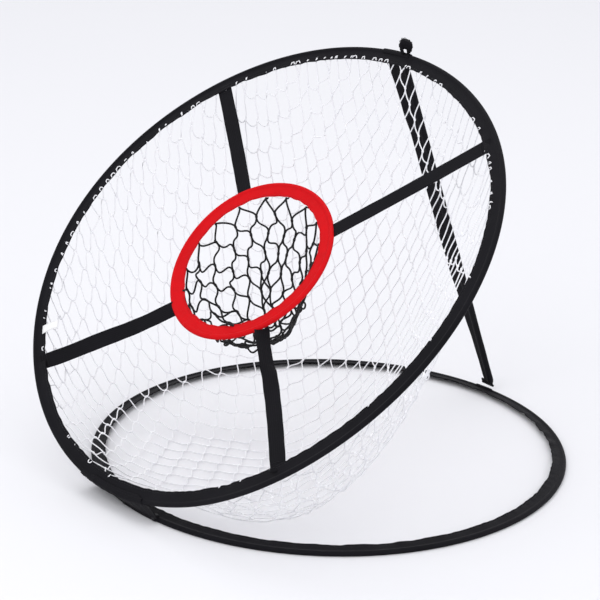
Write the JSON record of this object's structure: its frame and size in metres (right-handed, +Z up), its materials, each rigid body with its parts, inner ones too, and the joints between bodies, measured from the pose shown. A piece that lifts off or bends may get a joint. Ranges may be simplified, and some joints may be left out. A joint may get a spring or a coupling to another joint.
{
  "type": "golf chipping net",
  "caption": "Folding golf chipping net: a tilted round catch hoop with a net bag and a strapped target ring with its own pocket, sewn to a flat base hoop and propped from behind.",
  "frame": {"origin": "on the ground under the base hoop's wire, directly below the sewn joint of the two hoops", "axes": "+Z up; -Y towards the player, where the two hoops are sewn together; +Y towards the foot of the prop; +X across"},
  "size_m": [0.6242, 0.5823, 0.4857],
  "materials": {
    "spring_steel": "drawn spring wire",
    "crimp_steel": "crimped sheet",
    "black_binding": "tight plain weave, slightly glossy on the fold",
    "black_webbing": "ribbed woven tape",
    "black_thread": "dense bar tack stitching",
    "red_binding": "tight plain weave",
    "black_cord": "braided knotted cord",
    "white_cord": "fine knotted cord",
    "white_label": "smooth woven ribbon, blank",
    "fibreglass": "pultruded rod",
    "cap_plastic": "moulded cap"
  },
  "bodies": {
    "base": {"base_wire": "spring_steel", "base_ferrule": "crimp_steel", "base_sleeve": "black_binding", "hinge_web": "black_webbing", "hinge_tack_left": "black_thread", "hinge_tack_right": "black_thread", "foot_wrap": "black_webbing"},
    "catch_hoop": {"main_wire": "spring_steel", "main_ferrule": "crimp_steel", "main_sleeve": "black_binding", "hinge_patch": "black_webbing", "strap_front_right": "black_webbing", "strap_back_right": "black_webbing", "strap_back_left": "black_webbing", "strap_front_left": "black_webbing", "target_wire": "spring_steel", "target_ferrule": "crimp_steel", "target_sleeve": "red_binding", "target_pocket": "black_cord", "catch_net": "white_cord", "care_label": "white_label", "top_wrap": "black_webbing"},
    "hang_tag": {"hang_loop": "black_webbing"},
    "prop": {"prop_rod": "fibreglass", "prop_sleeve": "black_binding", "prop_cap_top": "cap_plastic", "prop_cap_bottom": "cap_plastic", "prop_foot_tab": "black_webbing", "prop_top_tab": "black_webbing"}
  },
  "joints": [
    {"name": "hoop_fold", "type": "hinge", "parent": "base", "child": "catch_hoop", "pos_m": [0, -0.0071, 0.011], "axis": [1, 0, 0], "range_deg": [-48, 0], "stiffness_Nm_per_rad": 40, "deforming": ["catch_net", "target_pocket"]},
    {"name": "prop_swing", "type": "hinge", "parent": "base", "child": "prop", "pos_m": [0, 0.5609, 0.008], "axis": [1, 0, 0], "range_deg": [-111, 0]},
    {"name": "hang_tag_flop", "type": "hinge", "parent": "catch_hoop", "child": "hang_tag", "pos_m": [-0.00779, 0.38364, 0.47039], "axis": [1, 0, 0], "range_deg": [-55, 45], "stiffness_Nm_per_rad": 0.002}
  ],
  "couplings": [
    {"joint": "prop_swing", "follows": "hoop_fold", "ratio": 2.3}
  ]
}
